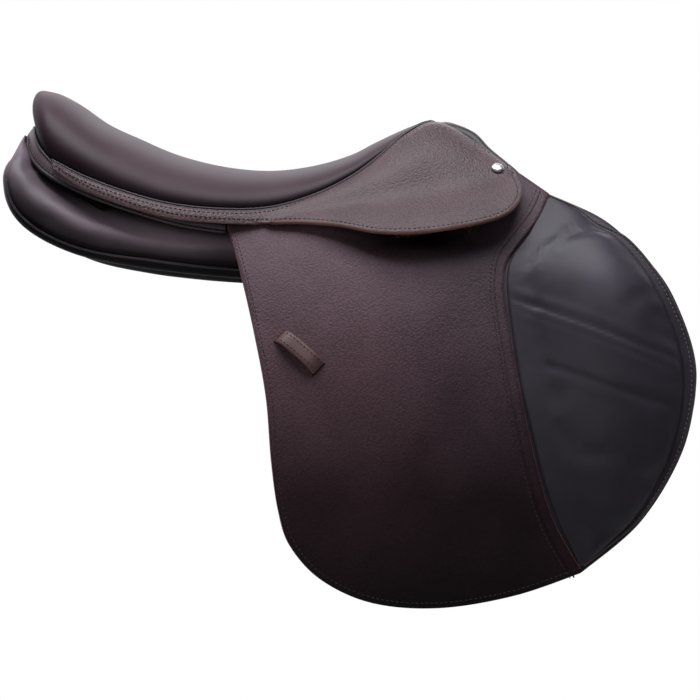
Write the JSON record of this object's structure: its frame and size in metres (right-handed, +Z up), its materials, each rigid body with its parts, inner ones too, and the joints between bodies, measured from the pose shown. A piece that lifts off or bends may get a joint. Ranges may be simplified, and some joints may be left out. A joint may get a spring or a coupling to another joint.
{
  "type": "jumping saddle",
  "caption": "Close contact jumping saddle with a dished seat, grained flaps that lift, padded knee pads, panels, stirrup bars with safety catches and girth straps.",
  "frame": {"origin": "on the median plane at the level where the panels bear, under the deepest point of the seat", "axes": "+X forward to the pommel, +Y to the near (left) side, +Z up"},
  "size_m": [0.6429, 0.4242, 0.4838],
  "materials": {
    "seat_leather": "smooth waxed hide",
    "skirt_leather": "pebbled hide",
    "flap_leather": "pebbled hide",
    "pad_leather": "smooth padded hide",
    "panel_leather": "smooth soft hide",
    "trim_leather": "smooth hide",
    "strap_leather": "stout strap leather",
    "foam": "cut foam",
    "webbing": "woven web",
    "tree_wood": "laminated beech",
    "bright_metal": "polished",
    "bar_metal": "satin"
  },
  "bodies": {
    "saddle": {"tree_cantle": "tree_wood", "tree_head": "tree_wood", "tree_side_near": "tree_wood", "tree_side_off": "tree_wood", "head_plate": "bright_metal", "head_rivets": "bright_metal", "girth_webs": "webbing", "seat_web": "webbing", "gullet_lining": "trim_leather", "seat_foam": "foam", "seat_cover": "seat_leather", "seat_piping_near": "trim_leather", "seat_piping_off": "trim_leather", "pommel_rim": "trim_leather", "pommel_facing": "trim_leather", "arch_facing": "trim_leather", "cantle_binding": "trim_leather", "panel_near": "panel_leather", "panel_off": "panel_leather", "panel_piping_near": "trim_leather", "panel_piping_off": "trim_leather", "sweat_flap_near": "trim_leather", "sweat_flap_off": "trim_leather", "point_pocket_near": "trim_leather", "point_pocket_off": "trim_leather", "flap_top_near": "flap_leather", "flap_top_off": "flap_leather", "skirt_near": "skirt_leather", "skirt_off": "skirt_leather", "pommel_studs": "bright_metal", "stirrup_bar_near": "bar_metal", "stirrup_bar_off": "bar_metal", "bar_rivets": "bright_metal", "catch_pin_near": "bright_metal", "catch_pin_off": "bright_metal", "dee_chape_near": "trim_leather", "dee_chape_off": "trim_leather"},
    "flap_near": {"flap_near": "flap_leather", "flap_lining_near": "trim_leather", "knee_pad_near": "pad_leather", "keeper_near": "flap_leather"},
    "flap_off": {"flap_off": "flap_leather", "flap_lining_off": "trim_leather", "knee_pad_off": "pad_leather", "keeper_off": "flap_leather"},
    "paddle_near": {"skirt_paddle_near": "skirt_leather"},
    "paddle_off": {"skirt_paddle_off": "skirt_leather"},
    "billet_front_near": {"billet_front_near": "strap_leather"},
    "billet_middle_near": {"billet_middle_near": "strap_leather"},
    "billet_rear_near": {"billet_rear_near": "strap_leather"},
    "billet_front_off": {"billet_front_off": "strap_leather"},
    "billet_middle_off": {"billet_middle_off": "strap_leather"},
    "billet_rear_off": {"billet_rear_off": "strap_leather"},
    "buckle_guard_near": {"buckle_guard_near": "trim_leather"},
    "buckle_guard_off": {"buckle_guard_off": "trim_leather"},
    "bar_catch_near": {"bar_catch_near": "bar_metal"},
    "bar_catch_off": {"bar_catch_off": "bar_metal"},
    "dee_ring_near": {"dee_ring_near": "bright_metal"},
    "dee_ring_off": {"dee_ring_off": "bright_metal"}
  },
  "joints": [
    {"name": "flap_lift_near", "type": "hinge", "parent": "saddle", "child": "flap_near", "pos_m": [0.16117, 0.12687, 0.02999], "axis": [0.9794, -0.1029, 0.1736], "range_deg": [0, 65]},
    {"name": "flap_lift_off", "type": "hinge", "parent": "saddle", "child": "flap_off", "pos_m": [0.16117, -0.12687, 0.02999], "axis": [-0.9794, -0.1029, -0.1736], "range_deg": [0, 65]},
    {"name": "skirt_lift_near", "type": "hinge", "parent": "saddle", "child": "paddle_near", "pos_m": [0.14867, 0.09761, 0.08317], "axis": [0.9794, -0.1029, 0.1736], "range_deg": [0, 60]},
    {"name": "skirt_lift_off", "type": "hinge", "parent": "saddle", "child": "paddle_off", "pos_m": [0.14867, -0.09761, 0.08317], "axis": [-0.9794, -0.1029, -0.1736], "range_deg": [0, 60]},
    {"name": "billet_swing_near", "type": "hinge", "parent": "saddle", "child": "billet_middle_near", "pos_m": [0.11246, 0.11339, 0.03185], "axis": [0.0024, -0.8541, -0.5201], "range_deg": [0, 3]},
    {"name": "billet_swing_off", "type": "hinge", "parent": "saddle", "child": "billet_middle_off", "pos_m": [0.11246, -0.11339, 0.03185], "axis": [-0.0024, -0.8541, 0.5201], "range_deg": [0, 3]},
    {"name": "front_billet_swing_near", "type": "hinge", "parent": "saddle", "child": "billet_front_near", "pos_m": [0.15751, 0.10865, 0.03984], "axis": [0.0024, -0.8541, -0.5201], "range_deg": [0, 3]},
    {"name": "front_billet_swing_off", "type": "hinge", "parent": "saddle", "child": "billet_front_off", "pos_m": [0.15751, -0.10865, 0.03984], "axis": [-0.0024, -0.8541, 0.5201], "range_deg": [0, 3]},
    {"name": "rear_billet_swing_near", "type": "hinge", "parent": "saddle", "child": "billet_rear_near", "pos_m": [0.0674, 0.11812, 0.02386], "axis": [0.0024, -0.8541, -0.5201], "range_deg": [0, 3]},
    {"name": "rear_billet_swing_off", "type": "hinge", "parent": "saddle", "child": "billet_rear_off", "pos_m": [0.0674, -0.11812, 0.02386], "axis": [-0.0024, -0.8541, 0.5201], "range_deg": [0, 3]},
    {"name": "guard_slide_near", "type": "hinge", "parent": "billet_middle_near", "child": "buckle_guard_near", "pos_m": [0.1137, -0.32165, -0.23306], "axis": [0.9794, -0.1029, 0.1736], "range_deg": [0, 4]},
    {"name": "guard_slide_off", "type": "hinge", "parent": "billet_middle_off", "child": "buckle_guard_off", "pos_m": [0.1137, 0.32165, -0.23306], "axis": [-0.9794, -0.1029, -0.1736], "range_deg": [0, 4]},
    {"name": "catch_flip_near", "type": "hinge", "parent": "saddle", "child": "bar_catch_near", "pos_m": [0.13345, 0.13376, 0.04359], "axis": [-0.0025, 0.8539, 0.5204], "range_deg": [0, 60]},
    {"name": "catch_flip_off", "type": "hinge", "parent": "saddle", "child": "bar_catch_off", "pos_m": [0.13345, -0.13376, 0.04359], "axis": [0.0025, 0.8539, -0.5204], "range_deg": [0, 60]},
    {"name": "dee_swing_near", "type": "hinge", "parent": "saddle", "child": "dee_ring_near", "pos_m": [0.2154, 0.10849, 0.0703], "axis": [0.9794, -0.1029, 0.1736], "range_deg": [0, 20]},
    {"name": "dee_swing_off", "type": "hinge", "parent": "saddle", "child": "dee_ring_off", "pos_m": [0.2154, -0.10849, 0.0703], "axis": [-0.9794, -0.1029, -0.1736], "range_deg": [0, 20]}
  ],
  "couplings": [
    {"joint": "front_billet_swing_near", "follows": "billet_swing_near", "ratio": 1},
    {"joint": "rear_billet_swing_near", "follows": "billet_swing_near", "ratio": 1},
    {"joint": "front_billet_swing_off", "follows": "billet_swing_off", "ratio": 1},
    {"joint": "rear_billet_swing_off", "follows": "billet_swing_off", "ratio": 1}
  ]
}
